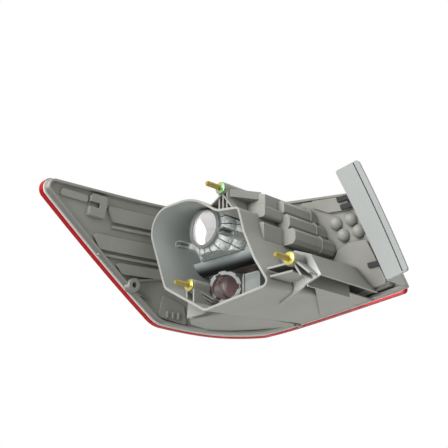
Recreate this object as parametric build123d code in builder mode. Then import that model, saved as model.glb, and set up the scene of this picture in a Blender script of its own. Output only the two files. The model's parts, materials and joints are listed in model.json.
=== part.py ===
from build123d import *
import os
from functools import cache
from math import cos, hypot, radians, sin

# Right-hand wrap-around rear lamp, in millimetres, seen as it sits on the car.
# +X points inboard, +Y rearward and +Z up. The origin is on the seat of the lower outer stud.

# Fixing studs, whose flange seats all lie in the plane y = 0
stud_span = 146.0
upper_stud_x = 49.0
upper_stud_z = 102.0
stud_radius = 3.0
stud_length = 20.0
stud_tip_chamfer = 1.0
stud_flange_radius = 7.0
stud_flange_thickness = 2.5
stud_root_radius = 2.6
stud_root_length = 9.0
stud_root_clearance = 0.1
stud_boss_radius = 7.5

# Lens surface: a superellipse in plan at three heights
plan_power = 7
plan_centre_x = 260.0
plan_centre_y = -200.0
plan_first_angle = 3.0
plan_last_angle = 84.5
plan_steps = 12
low_level = -55.0
middle_level = 45.0
high_level = 145.0
side_low = -116.0
side_middle = -110.0
side_high = -92.0
rear_low = 182.5
rear_middle = 156.0
rear_high = 114.0

# Outline of the lens seen from the side: knee, wing tip and upper edge
knee_y = 43.0
knee_z = -23.0
tip_low_y = -146.0
tip_low_z = 107.0
tip_high_y = -129.0
tip_high_z = 117.5
outline_rear_y = 215.0
outline_top_z = 132.0
outline_bottom_z = -34.0
knee_radius = 40.0
tip_radius = 11.0

# Outline of the lens seen from the rear: lower edge, slanted inboard end and upper edge
outline_outer_x = -200.0
outer_bottom_z = -48.0
inboard_bottom_x = 173.0
inboard_bottom_z = -8.6
inboard_top_x = 143.0
inboard_top_z = 105.0
outer_top_z = 149.0
inboard_corner_radius = 5.0

# Layers from the lens surface inward
lens_wall = 3.0
lens_skirt_depth = 6.5
lens_skirt_width = 2.5
seal_depth = 2.0
seal_clearance = 0.1
seal_width = 4.0
seal_inset = 1.0
bezel_wall = 1.5
bezel_inset = 6.0
bezel_overhang = 3.0
plate_wall = 2.5
plate_inset = 3.0
plate_inboard_reach = 10.5
lip_height = 5.0
lip_width = 2.5

# Clear window in front of the upper bulb
window_inboard_x = 74.0
window_bottom_z = 50.0
window_top_z = 96.0
window_front_y = 62.0
window_radius = 14.0

# Bulb bay: rim corners in the plane y = 0, with their fillets
rim_outer_x = -80.5
rim_outer_z = 104.0
rim_peak_x = 5.5
rim_peak_z = 104.0
rim_dip_x = 43.5
rim_dip_z = 78.0
rim_neck_x = 77.5
rim_neck_z = 73.0
rim_waist_x = 86.0
rim_waist_z = 43.0
rim_hip_x = 100.5
rim_hip_z = 11.0
rim_toe_x = 122.0
rim_toe_z = -22.0
rim_keel_x = 25.5
rim_keel_z = -34.0
rim_bilge_x = -41.0
rim_bilge_z = 3.0
rim_radii = (28.0, 75.0, 25.0, 8.0, 60.0, 60.0, 7.0, 14.0, 14.0)
bay_wall = 2.5
bay_reach = 210.0
bay_floor_rise = 13.5
joint_clearance = 0.1

# Shelf that parts the upper and lower chambers of the bay
shelf_z = 44.0
shelf_wall = 2.5
shelf_front_y = 58.0
shelf_nose_drop = 16.0
shelf_nose_reach = 10.0
shelf_nose_bulge = 3.0

# Ledges in the bay on which the reflectors seat
ledge_width = 2.5
ledge_wall = 2.5
upper_seat_y = 75.0
lower_seat_y = 95.0
reflector_clearance = 0.5
reflector_wall = 2.2

# Upper reflector: a paraboloid bowl with a round bulb opening
upper_bulb_x = -6.0
upper_bulb_z = 75.5
upper_bulb_radius = 20.5
upper_neck_wall = 3.8
upper_neck_front_y = 28.0
upper_neck_length = 5.0
upper_mouth_radius = 50.0
cobble_rings = 3
cobble_bulge = 1.6
cobble_sectors = 18
cobble_groove_width = 1.4
cobble_groove_depth = 1.3
tab_channel_front_y = 16.0
tab_channel_end_y = 56.0
tab_channel_width = 8.0
tab_channel_height = 7.0
tab_channel_wall = 1.4
tab_channel_z = 60.0
tab_channel_xs = (-38.0, 34.0)

# Lower reflector: a tilted bowl with a bayonet socket ring, and a box beside it
lower_bulb_x = 17.0
lower_bulb_y = 40.0
lower_bulb_z = 2.0
lower_bulb_turn = 32.0
lower_ring_radius = 19.0
lower_ring_length = 9.0
lower_hole_radius = 14.5
lower_notch_width = 6.0
lower_notch_depth = 2.2
lower_notches = 3
lower_teeth = 9
lower_tooth_gap = 4.5
lower_tooth_depth = 1.3
lower_tooth_length = 3.0
lower_mouth_radius = 34.0
lower_bowl_length = 62.0
socket_box_x = 42.0
socket_box_width = 27.0
socket_box_z = -18.0
socket_box_height = 30.0
socket_box_front_y = 42.0
socket_box_radius = 5.0

# Hood over the bay, behind the upper stud, and the gusset that carries the stud's post
hood_front_y = 38.0
hood_corners = ((8.0, 100.0), (30.0, 105.5), (57.0, 104.5), (82.0, 96.0), (82.0, 72.0), (44.0, 76.0))
gusset_front_y = 9.0
gusset_outer_x = 46.0
gusset_front_width = 11.0
gusset_rear_width = 28.0
gusset_z = 92.0
gusset_height = 9.0

# Stepped chamber on the inboard side of the bay
step_front_y = 60.0
step_count = 3
step_top_x = 87.0
step_top_z = 93.0
step_run = 7.5
step_drop = 18.0
step_bulge = 3.5
step_root_x = 76.0
seam_y = 106.0
seam_width = 2.0
seam_height = 1.2
upper_box = (30.0, 67.0, 13.0)
lower_box = (28.0, 37.0, 23.0)
box_rise_x = 88.5
box_radius = 3.0

# Inboard chamber with the four lamp domes on its back
chamber_wall = 2.5
chamber_depth = 20.0
chamber_corners = ((99.0, -10.0), (165.0, -2.0), (138.5, 98.0), (70.0, 106.0), (92.0, 60.0))
chamber_radius = 4.0
shoulder_height = 4.5
upper_shoulder = ((74.0, 105.0), (138.0, 97.5), (141.0, 83.0), (110.0, 86.0))
lower_shoulder = ((100.0, 34.0), (110.0, 44.0), (126.0, 49.0), (150.0, 48.0), (164.0, -1.0), (100.0, -9.0))
dome_radius = 8.0
dome_wall = 1.8
dome_x = 115.0
dome_z = 74.0
dome_pitch_x = 21.0
dome_pitch_z = 14.0
dome_shift = 5.5

# Inboard bracket, an open-bottomed box that narrows rearward and carries the inboard stud
bracket_wall = 2.5
bracket_near_y = 4.0
bracket_far_y = 160.0
bracket_near = ((90.0, 16.0), (138.0, 14.0), (166.0, 2.5), (177.0, -20.0), (75.0, -27.5))
bracket_far = ((90.0, 30.0), (108.0, 31.0), (122.0, 25.0), (145.5, -7.0), (75.0, -16.0))
bracket_top = (163.0, 14.0, 4.0)
bracket_corner = (175.0, 14.0, -19.0)
bracket_heel = (83.0, 60.0, -23.0)
bracket_drop = 60.0
bracket_rib_x = 143.5
bracket_rib_bottom_z = -22.0
bracket_rib_end_y = 100.0
bracket_fins = (
    (-16.0, -3.0, 34.0, 0.0),
    (-14.0, -12.0, 30.0, 0.0),
    (12.0, -9.0, 27.0, -41.0),
    (6.0, -10.0, 20.0, -58.0),
)
bracket_boss_end_y = 30.0

# Stud posts
fin_wall = 2.0
fin_reach = 15.0
post_rib_spacing = 6.0
post_rib_front_y = 5.0
lower_boss_end_y = 26.0

# Wing: raised panels, beads, bar, clip tab and loop clip, in side view
wing_inner_x = -70.0
panel_height = 3.5
panel_rear_y = 60.0
panel_slant = 12.0
panel_rise = 5.0
panel_gap = 7.0
bead_height = 3.0
bead_width = 3.0
first_panel_front_y = -52.0
first_panel_z = 86.0
first_panel_height = 17.0
second_panel_front_y = -66.0
second_panel_z = 51.0
second_panel_height = 17.0
third_panel_front_y = -30.0
third_panel_z = 28.0
third_panel_height = 12.0
panel_radius = 3.0
bar_front_y = -116.0
bar_z = 100.0
bar_height = 8.0
bar_gap = 2.0
tab_front_y = -77.0
tab_z = 86.0
tab_length = 23.0
tab_height = 25.0
tab_stand = 6.0
tab_wall = 2.2
tab_floor = 0.8
tab_slot_length = 14.0
tab_slot_z = 96.0
tab_slot_height = 6.0
loop_y = -2.0
loop_z = 17.0
loop_radius = 8.0
loop_hole_radius = 3.5
loop_stand = 9.0
web_panel_corners = ((47.0, 15.0), (78.0, 5.0), (84.0, -19.0), (42.0, -13.0))
web_panel_height = 2.0
web_rib_height = 4.5
web_rib_width = 2.0
web_rib_rise = 8.0
web_rib_z = -13.0
web_rib_front_y = 53.0
web_rib_pitch = 8.0
web_ribs = 3

# Inboard plate, its web and the clips that hold it
end_plate_depth = 45.0
end_plate_wall = 3.0
end_plate_corners = ((148.0, 116.0), (180.0, 120.0), (205.0, 1.0), (177.0, -5.0))
end_plate_radius = 3.0
end_groove_inset = 6.0
end_groove_width = 1.6
end_groove_depth = 1.2
web_wall = 2.5
web_clearance = 0.1
clip_levels = (20.0, 86.5, 95.0)
clip_height = 5.0
clip_reach = 24.0
clip_wall = 3.0
clip_clearance = 0.1

# Working values
sketch_margin = 60.0
cut_overrun = 1.0
seal_start = lens_skirt_depth
plate_start = lens_skirt_depth + seal_depth
plate_end = plate_start + plate_wall
bezel_start = plate_start - seal_clearance - bezel_wall
plate_middle = plate_start + plate_wall / 2
chamber_middle = chamber_depth + chamber_wall / 2
shoulder_end = chamber_depth + chamber_wall + shoulder_height
front_inset = bay_wall + ledge_width + reflector_clearance
outside_reach = -140.0


def plan_points(side_x, rear_y, depth):
    """Points of the lens plan curve at one height, moved inward by depth."""
    half_x = plan_centre_x - side_x
    half_y = rear_y - plan_centre_y
    points = []
    for step in range(plan_steps + 1):
        angle = radians(plan_first_angle + (plan_last_angle - plan_first_angle) * step / plan_steps)
        reach_x = cos(angle) / half_x
        reach_y = sin(angle) / half_y
        reach = (reach_x**plan_power + reach_y**plan_power) ** (-1 / plan_power)
        across = reach * cos(angle)
        along = reach * sin(angle)
        slope_x = (across / half_x) ** (plan_power - 1) / half_x
        slope_y = (along / half_y) ** (plan_power - 1) / half_y
        slope = hypot(slope_x, slope_y)
        x = plan_centre_x - across + depth * slope_x / slope
        y = plan_centre_y + along - depth * slope_y / slope
        points.append((x, y))
    return points


def rear_surface(z):
    """Rearmost y of the lens surface at height z, through the three levels."""
    t = (z - middle_level) / (high_level - middle_level)
    return rear_middle + (rear_high - rear_low) / 2 * t + (rear_high + rear_low - 2 * rear_middle) / 2 * t * t


@cache
def curved_slab(near, far):
    """Layer of space between two depths inward from the lens surface."""
    levels = (
        (low_level, side_low, rear_low),
        (middle_level, side_middle, rear_middle),
        (high_level, side_high, rear_high),
    )
    with BuildPart() as slab:
        for level, side_x, rear_y in levels:
            with BuildSketch(Plane.XY.offset(level)):
                with BuildLine():
                    outer = Spline(*plan_points(side_x, rear_y, near))
                    inner = Spline(*plan_points(side_x, rear_y, far))
                    Line(outer @ 0, inner @ 0)
                    Line(outer @ 1, inner @ 1)
                make_face()
        loft()
    return slab.part


def rear_prism(corners, radius, from_y, to_y, inset=0.0):
    """Column along Y over an outline drawn in rear view."""
    with BuildPart() as prism:
        with BuildSketch(Plane.XZ.offset(-from_y)):
            with BuildLine():
                FilletPolyline(*corners, radius=radius, close=True)
            make_face()
            if inset:
                offset(amount=-inset, mode=Mode.REPLACE)
        extrude(amount=from_y - to_y)
    return prism.part


def side_prism(corners, radius, from_x, to_x, inset=0.0):
    """Column along X over an outline drawn in side view."""
    with BuildPart() as prism:
        with BuildSketch(Plane.YZ.offset(from_x)):
            with BuildLine():
                FilletPolyline(*corners, radius=radius, close=True)
            make_face()
            if inset:
                offset(amount=-inset, mode=Mode.REPLACE)
        extrude(amount=to_x - from_x)
    return prism.part


def slab_patch(near, far, *prisms):
    """Part of a layer that lies inside every given column."""
    with BuildPart() as patch:
        add(curved_slab(near, far))
        for prism in prisms:
            add(prism, mode=Mode.INTERSECT)
    return patch.part


def lens_layer(near, far, inset=0.0, inboard_reach=0.0):
    """Layer cut to the lens outline, drawn in by inset and reaching inboard."""
    side_corners = (
        (knee_y, knee_z),
        (tip_low_y, tip_low_z),
        (tip_high_y, tip_high_z),
        (outline_rear_y, outline_top_z),
        (outline_rear_y, outline_bottom_z),
    )
    rear_corners = (
        (outline_outer_x, outer_bottom_z),
        (inboard_bottom_x + inboard_reach, inboard_bottom_z),
        (inboard_top_x + inboard_reach, inboard_top_z),
        (outline_outer_x, outer_top_z),
    )
    side = side_prism(
        side_corners,
        (knee_radius, tip_radius, tip_radius, 0, 0),
        outline_outer_x,
        -outline_outer_x + sketch_margin,
        inset,
    )
    rear = rear_prism(
        rear_corners,
        (0, inboard_corner_radius, inboard_corner_radius, 0),
        outline_outer_x,
        outline_rear_y,
        inset,
    )
    return slab_patch(near, far, side, rear)


def lens_tray(near, floor, far, inset, rim, inboard_reach=0.0):
    """Layer from near to floor with an edge rim that stands on to far."""
    with BuildPart() as tray:
        add(lens_layer(near, far, inset, inboard_reach))
        add(lens_layer(floor, far + cut_overrun, inset + rim, inboard_reach), mode=Mode.SUBTRACT)
    return tray.part


@cache
def bay_prism(inset):
    """Column along Y over the rim of the bulb bay, with a floor that rises rearward."""
    with BuildPart() as prism:
        for y in (-cut_overrun, bay_reach):
            rise = bay_floor_rise * y / bay_reach
            with BuildSketch(Plane.XZ.offset(-y)):
                with BuildLine():
                    FilletPolyline(
                        (rim_outer_x, rim_outer_z),
                        (rim_peak_x, rim_peak_z),
                        (rim_dip_x, rim_dip_z),
                        (rim_neck_x, rim_neck_z),
                        (rim_waist_x, rim_waist_z),
                        (rim_hip_x, rim_hip_z + rise),
                        (rim_toe_x, rim_toe_z + rise),
                        (rim_keel_x, rim_keel_z + rise),
                        (rim_bilge_x, rim_bilge_z + rise),
                        radius=rim_radii,
                        close=True,
                    )
                make_face()
                if inset:
                    offset(amount=-inset, mode=Mode.REPLACE)
        loft(ruled=True)
    return prism.part


def level_block(from_y, to_y, from_z, to_z):
    """Block right across the lamp between two heights."""
    with BuildPart() as block:
        with BuildSketch(Plane.XZ.offset(-from_y)):
            with Locations((0, (from_z + to_z) / 2)):
                Rectangle(-2 * outline_outer_x, to_z - from_z)
        extrude(amount=from_y - to_y)
    return block.part


def bay_slice(from_y, to_y, inset):
    """Stretch of the bay's column between two depths."""
    with BuildPart() as stretch:
        add(bay_prism(inset))
        add(level_block(from_y, to_y, -bracket_drop, outer_top_z), mode=Mode.INTERSECT)
    return stretch.part


def seat_space(seat_y, end_y):
    """Room for a reflector: clear of the ledge in front of its seat, and of the bay walls behind it."""
    with BuildPart() as space:
        add(bay_slice(0.0, seat_y, front_inset))
        add(bay_slice(seat_y, end_y, bay_wall + reflector_clearance))
    return space.part


def post(x, z, from_y, to_y, radius):
    """Round post along Y."""
    with BuildPart() as column:
        with BuildSketch(Plane.XZ.offset(-from_y)):
            with Locations((x, z)):
                Circle(radius)
        extrude(amount=from_y - to_y)
    return column.part


def fin(x, z, width, height, from_y, to_y):
    """Flat rib along Y, centred at x and z."""
    with BuildPart() as rib:
        with BuildSketch(Plane.XZ.offset(-from_y)):
            with Locations((x, z)):
                Rectangle(width, height)
        extrude(amount=from_y - to_y)
    return rib.part


# Space on and beyond the back of the perimeter plate, used to end the walls inside it
beyond_plate = curved_slab(outside_reach, plate_middle)
window_box = rear_prism(
    (
        (outline_outer_x, window_bottom_z),
        (window_inboard_x, window_bottom_z),
        (window_inboard_x, window_top_z),
        (outline_outer_x, window_top_z),
    ),
    (0, window_radius, window_radius, 0),
    window_front_y,
    outline_rear_y,
)

# Red lens: curved front wall with a skirt round its edge, less the clear window
with BuildPart() as lens_red:
    add(lens_tray(0.0, lens_wall, lens_skirt_depth, 0.0, lens_skirt_width))
    add(slab_patch(-cut_overrun, lens_wall + cut_overrun, window_box), mode=Mode.SUBTRACT)
lens_red.part.label = "lens_red"

# Clear window, moulded flush into the red lens
with BuildPart() as lens_clear:
    add(slab_patch(0.0, lens_wall, window_box))
lens_clear.part.label = "lens_clear"

# Sealant bead between the lens skirt and the housing
with BuildPart() as lens_seal:
    add(lens_layer(seal_start + seal_clearance, plate_start - seal_clearance, seal_inset))
    add(
        lens_layer(seal_start - cut_overrun, plate_start + cut_overrun, seal_inset + seal_width),
        mode=Mode.SUBTRACT,
    )
lens_seal.part.label = "lens_seal"

# Outline of the stepped chamber in rear view
step_points = [(step_root_x, step_top_z)]
for step in range(step_count):
    step_x = step_top_x + step * step_run
    step_z = step_top_z - step * step_drop
    step_points.append((step_x, step_z))
    step_points.append((step_x + step_bulge, step_z - step_drop / 4))
    step_points.append((step_x + step_bulge, step_z - step_drop * 3 / 4))
    step_points.append((step_x, step_z - step_drop))
step_points.append((step_root_x + step_run, step_top_z - step_count * step_drop))
step_radius = step_bulge / 4

# Walls of the hood and stepped chamber, with two boxes beside the bay, ended inside the perimeter plate
with BuildPart() as walls:
    add(rear_prism(hood_corners, 0, hood_front_y, bay_reach))
    add(rear_prism(step_points, step_radius, step_front_y, bay_reach))
    add(rear_prism(step_points, step_radius, seam_y, seam_y + seam_width, -seam_height))
    for box_front_y, box_z, box_height in (upper_box, lower_box):
        box_corners = (
            (step_root_x, box_z),
            (box_rise_x, box_z),
            (box_rise_x, box_z + box_height),
            (step_root_x, box_z + box_height),
        )
        add(rear_prism(box_corners, box_radius, box_front_y, step_front_y + bay_wall))
    add(rear_prism(hood_corners, 0, hood_front_y + bay_wall, bay_reach, bay_wall), mode=Mode.SUBTRACT)
    add(
        rear_prism(step_points, step_radius, step_front_y + bay_wall, bay_reach, bay_wall),
        mode=Mode.SUBTRACT,
    )
    add(beyond_plate, mode=Mode.SUBTRACT)

# Shelf with its curved nose, and the lower stud's post, all inside the bay
shelf_top = shelf_z + shelf_wall
nose_foot_y = shelf_front_y + shelf_nose_reach
nose_foot_z = shelf_top - shelf_nose_drop
nose_middle_y = shelf_front_y + shelf_nose_reach / 2 - shelf_nose_bulge
nose_middle_z = shelf_top - shelf_nose_drop / 2 - shelf_nose_bulge / 2
with BuildPart() as fittings:
    with BuildSketch(Plane.YZ.offset(outline_outer_x)):
        with BuildLine():
            ThreePointArc(
                (shelf_front_y, shelf_top),
                (nose_middle_y, nose_middle_z),
                (nose_foot_y, nose_foot_z),
            )
            Line((nose_foot_y, nose_foot_z), (nose_foot_y + shelf_wall, nose_foot_z))
            ThreePointArc(
                (nose_foot_y + shelf_wall, nose_foot_z),
                (nose_middle_y + shelf_wall, nose_middle_z),
                (shelf_front_y + shelf_wall, shelf_top),
            )
            Line((shelf_front_y + shelf_wall, shelf_top), (shelf_front_y, shelf_top))
        make_face()
    extrude(amount=-2 * outline_outer_x)
    add(level_block(shelf_front_y + shelf_wall / 2, bay_reach, shelf_z, shelf_top))
    add(post(0, 0, stud_flange_thickness, lower_boss_end_y, stud_boss_radius))
    for side in (-1, 1):
        fin_x = side * (stud_boss_radius - fin_wall)
        add(fin(fin_x, -fin_reach, fin_wall, 2 * fin_reach, stud_flange_thickness, lower_boss_end_y))
    add(bay_prism(bay_wall / 2), mode=Mode.INTERSECT)

with BuildPart() as ledges:
    add(bay_slice(upper_seat_y - ledge_wall, upper_seat_y, bay_wall / 2))
    add(bay_prism(bay_wall + ledge_width), mode=Mode.SUBTRACT)
    add(level_block(0.0, bay_reach, -bracket_drop, shelf_z), mode=Mode.SUBTRACT)

with BuildPart() as lower_ledges:
    add(bay_slice(lower_seat_y - ledge_wall, lower_seat_y, bay_wall / 2))
    add(bay_prism(bay_wall + ledge_width), mode=Mode.SUBTRACT)
    add(level_block(0.0, bay_reach, shelf_z, outer_top_z), mode=Mode.SUBTRACT)

stud_places = {
    "stud_lower": (0.0, 0.0),
    "stud_inboard": (stud_span, 0.0),
    "stud_upper": (upper_stud_x, upper_stud_z),
}


def stud_root(name):
    """Hole in a boss for the root of the named stud."""
    stud_x, stud_z = stud_places[name]
    root_end_y = stud_flange_thickness + stud_root_length + stud_root_clearance
    return post(stud_x, stud_z, 0.0, root_end_y, stud_root_radius + stud_root_clearance)


# Bulb bay: side walls open to the front, with the shelf, the reflector ledges and the lower stud's post
with BuildPart() as bulb_bay:
    add(bay_slice(0.0, bay_reach, 0.0))
    add(bay_prism(bay_wall), mode=Mode.SUBTRACT)
    add((fittings.part, ledges.part, lower_ledges.part))
    add(beyond_plate, mode=Mode.SUBTRACT)
    add(stud_root("stud_lower"), mode=Mode.SUBTRACT)
bulb_bay.part.label = "bulb_bay"

# Inboard chamber: side walls, back wall, two raised shoulders and four hollow domes
chamber_column = rear_prism(chamber_corners, chamber_radius, step_front_y, bay_reach)
chamber_inside = rear_prism(chamber_corners, chamber_radius, step_front_y, bay_reach, chamber_wall)
chamber_space = slab_patch(plate_start - cut_overrun, chamber_depth, chamber_inside)
dome_centres = []
for row in range(2):
    for column in range(2):
        centre_x = dome_x + column * dome_pitch_x + row * dome_shift
        centre_z = dome_z - row * dome_pitch_z
        centre_y = rear_surface(centre_z) - chamber_depth - chamber_wall
        dome_centres.append((centre_x, centre_y, centre_z))
with BuildPart() as chamber:
    add(slab_patch(plate_middle, chamber_depth + chamber_wall, chamber_column))
    for shoulder in (upper_shoulder, lower_shoulder):
        raised = rear_prism(shoulder, chamber_radius, step_front_y, bay_reach)
        add(slab_patch(chamber_middle, shoulder_end, raised))
    with Locations(*dome_centres):
        Sphere(dome_radius)
    add(chamber_space, mode=Mode.SUBTRACT)
    with Locations(*dome_centres):
        Sphere(dome_radius - dome_wall, mode=Mode.SUBTRACT)

# Inboard bracket: open below, with a middle rib, a slanted front wall and the inboard stud's boss and fins
bracket_across = Vector(bracket_corner) - Vector(bracket_top)
bracket_along = Vector(bracket_heel) - Vector(bracket_top)
bracket_front = Plane(origin=bracket_top, x_dir=bracket_along, z_dir=bracket_across.cross(bracket_along))


def bracket_column(inset, drop):
    """Column of the bracket, drawn in by inset, with its lower corners taken down by drop."""
    with BuildPart() as column:
        for y, corners in ((bracket_near_y, bracket_near), (bracket_far_y, bracket_far)):
            *upper, (right_x, right_z), (left_x, left_z) = corners
            with BuildSketch(Plane.XZ.offset(-y)):
                with BuildLine():
                    if drop:
                        Polyline(
                            *upper,
                            (right_x, right_z),
                            (right_x, right_z - drop),
                            (left_x, left_z - drop),
                            close=True,
                        )
                    else:
                        Polyline(*corners, close=True)
                make_face()
                if inset:
                    offset(amount=-inset, kind=Kind.INTERSECTION, mode=Mode.REPLACE)
        loft(ruled=True)
    return column.part


with BuildPart() as bracket_fittings:
    with BuildSketch(Plane.XZ.offset(-stud_flange_thickness - fin_wall)):
        for fin_x, fin_z, fin_length, fin_turn in bracket_fins:
            with Locations(Location((stud_span + fin_x, fin_z, 0), (0, 0, fin_turn))):
                Rectangle(fin_length, fin_wall)
    extrude(amount=-bracket_boss_end_y)
    split(bisect_by=bracket_front.offset(bracket_wall / 2), keep=Keep.BOTTOM)
    add(post(stud_span, 0, stud_flange_thickness, bracket_boss_end_y, stud_boss_radius))

with BuildPart() as bracket_rib:
    rib_z = bracket_rib_bottom_z + bracket_drop / 2
    add(fin(bracket_rib_x, rib_z, bracket_wall, bracket_drop, 0.0, bracket_rib_end_y))
    add(bracket_column(bracket_wall / 2, bracket_drop), mode=Mode.INTERSECT)
    split(bisect_by=bracket_front.offset(bracket_wall / 2), keep=Keep.TOP)

with BuildPart() as bracket_room:
    add(bracket_column(bracket_wall, bracket_drop))
    split(bisect_by=bracket_front.offset(bracket_wall), keep=Keep.TOP)

lower_shoulder_column = rear_prism(lower_shoulder, chamber_radius, step_front_y, bay_reach, -joint_clearance)
with BuildPart() as inboard_bracket:
    add(bracket_column(0.0, 0.0))
    split(bisect_by=bracket_front, keep=Keep.TOP)
    add(bracket_room.part, mode=Mode.SUBTRACT)
    add((bracket_rib.part, bracket_fittings.part))
    add(bay_prism(-joint_clearance), mode=Mode.SUBTRACT)
    add(curved_slab(outside_reach, chamber_depth + chamber_wall + joint_clearance), mode=Mode.SUBTRACT)
    add(slab_patch(chamber_middle, shoulder_end + joint_clearance, lower_shoulder_column), mode=Mode.SUBTRACT)
    add(stud_root("stud_inboard"), mode=Mode.SUBTRACT)
inboard_bracket.part.label = "inboard_bracket"

# Wing relief in side view: three raised panels parted by beads, a bar, a clip tab and a loop clip


def wing_patch(near, far, corners, radius, inset=0.0):
    """Raised area of the wing plate over an outline drawn in side view."""
    return slab_patch(near, far, side_prism(corners, radius, outline_outer_x, wing_inner_x, inset))


def slanted_panel(front_y, z, height, slant):
    """Corners of a panel whose front edge leans rearward going down."""
    return (
        (front_y, z + height),
        (panel_rear_y, z + height + panel_rise),
        (panel_rear_y, z + panel_rise),
        (front_y + slant, z),
    )


def level_strip(front_y, rear_y, z, height):
    """Corners of a level strip."""
    return ((front_y, z), (front_y, z + height), (rear_y, z + height), (rear_y, z))


panel_levels = (
    (first_panel_front_y, first_panel_z, first_panel_height),
    (second_panel_front_y, second_panel_z, second_panel_height),
    (third_panel_front_y, third_panel_z, third_panel_height),
)
tab_corners = level_strip(tab_front_y, tab_front_y + tab_length, tab_z, tab_height)
slot_rear_y = tab_front_y + tab_slot_length
slot_corners = level_strip(tab_front_y - cut_overrun, slot_rear_y, tab_slot_z, tab_slot_height)
cavity_start = plate_end + tab_floor
slot_start = cavity_start + tab_floor


def loop_column(radius):
    """Column along X through the loop clip."""
    with BuildPart() as column:
        with BuildSketch(Plane.YZ.offset(wing_inner_x)):
            with Locations((loop_y, loop_z)):
                Circle(radius)
        extrude(amount=outline_outer_x - wing_inner_x)
    return column.part


with BuildPart() as wing:
    for front_y, z, height in panel_levels:
        panel = slanted_panel(front_y, z, height, panel_slant)
        add(wing_patch(plate_middle, plate_end + panel_height, panel, panel_radius))
    for front_y, z, _ in panel_levels[:2]:
        bead = slanted_panel(front_y + panel_slant, z - panel_gap, bead_width, 0)
        add(wing_patch(plate_middle, plate_end + bead_height, bead, bead_width / 3))
    bar = level_strip(bar_front_y, tab_front_y - bar_gap, bar_z, bar_height)
    add(wing_patch(plate_middle, plate_end + bead_height, bar, panel_radius))
    add(wing_patch(plate_middle, plate_end + tab_stand, tab_corners, panel_radius))
    add(
        wing_patch(cavity_start, plate_end + tab_stand - tab_wall, tab_corners, panel_radius, tab_wall),
        mode=Mode.SUBTRACT,
    )
    add(
        wing_patch(slot_start, plate_end + tab_stand + cut_overrun, slot_corners, panel_radius / 2),
        mode=Mode.SUBTRACT,
    )
    add(wing_patch(plate_middle, plate_end + web_panel_height, web_panel_corners, panel_radius))
    for rib in range(web_ribs):
        rib_y = web_rib_front_y + rib * web_rib_pitch
        rib_corners = level_strip(rib_y, rib_y + web_rib_width, web_rib_z, web_rib_rise)
        add(wing_patch(plate_middle, plate_end + web_rib_height, rib_corners, 0))
    add(slab_patch(plate_middle, plate_end + loop_stand, loop_column(loop_radius)))
    loop_hole = slab_patch(cavity_start, plate_end + loop_stand + cut_overrun, loop_column(loop_hole_radius))
    add(loop_hole, mode=Mode.SUBTRACT)

# Housing: perimeter plate and lip, wing relief, hood, chambers and the upper stud's post
post_end_y = hood_front_y + bay_wall
with BuildPart() as housing:
    lip_end = plate_end + lip_height
    add(lens_tray(plate_start, plate_end, lip_end, plate_inset, lip_width, plate_inboard_reach))
    add(chamber_space, mode=Mode.SUBTRACT)
    add((walls.part, chamber.part, wing.part))
    rib_middle = (upper_stud_z + rim_dip_z) / 2
    for side in (-1, 0, 1):
        rib_x = upper_stud_x + side * post_rib_spacing
        add(fin(rib_x, rib_middle, fin_wall, upper_stud_z - rim_dip_z, post_rib_front_y, post_end_y))
    with BuildSketch(Plane.XY.offset(gusset_z)):
        with BuildLine():
            Polyline(
                (gusset_outer_x, gusset_front_y),
                (gusset_outer_x + gusset_front_width, gusset_front_y),
                (gusset_outer_x + gusset_rear_width, post_end_y),
                (gusset_outer_x, post_end_y),
                close=True,
            )
        make_face()
    extrude(amount=gusset_height)
    add(post(upper_stud_x, upper_stud_z, stud_flange_thickness, post_end_y, stud_boss_radius))
    add(stud_root("stud_upper"), mode=Mode.SUBTRACT)
    add(bay_prism(-joint_clearance), mode=Mode.SUBTRACT)
housing.part.label = "housing"

# Upper reflector: stepped, grooved bowl on a flange that fills the upper bay
bowl_start_y = upper_neck_front_y + upper_neck_length
neck_radius = upper_bulb_radius + upper_neck_wall
bowl_gain = (upper_mouth_radius**2 - neck_radius**2) / (upper_seat_y - bowl_start_y)
upper_axis_plane = Plane.XY.move(Location((upper_bulb_x, 0, upper_bulb_z)))
upper_axis = Axis((upper_bulb_x, 0, upper_bulb_z), (0, 1, 0))


def bowl_radius(y):
    """Outer radius of the upper bowl at depth y, on its parabola."""
    return (neck_radius**2 + bowl_gain * (y - bowl_start_y)) ** 0.5


def bowl_profile(offset_in, bulge):
    """Line of the upper bowl from neck to mouth, offset inward, with one bulge for each ring."""
    ring_length = (upper_seat_y - bowl_start_y) / cobble_rings
    for ring in range(cobble_rings):
        first_y = bowl_start_y + ring * ring_length
        last_y = first_y + ring_length
        middle_y = (first_y + last_y) / 2
        ThreePointArc(
            (bowl_radius(first_y) - offset_in, first_y),
            (bowl_radius(middle_y) - offset_in + bulge, middle_y - bulge),
            (bowl_radius(last_y) - offset_in, last_y),
        )


with BuildPart() as cobble_grooves:
    with BuildSketch(upper_axis_plane):
        with BuildLine():
            bowl_profile(cobble_groove_depth, 0.0)
            Line((upper_mouth_radius - cobble_groove_depth, upper_seat_y), (upper_mouth_radius, bowl_start_y))
            Line((upper_mouth_radius, bowl_start_y), (neck_radius - cobble_groove_depth, bowl_start_y))
        make_face()
    revolve(axis=upper_axis)
    with BuildSketch(Plane.XZ.offset(-bowl_start_y + cut_overrun)):
        with Locations((upper_bulb_x, upper_bulb_z)):
            with PolarLocations(upper_mouth_radius / 2, cobble_sectors):
                Rectangle(upper_mouth_radius, cobble_groove_width)
    extrude(amount=bowl_start_y - upper_seat_y - cut_overrun, mode=Mode.INTERSECT)

shelf_clear_z = shelf_top + reflector_clearance

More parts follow.
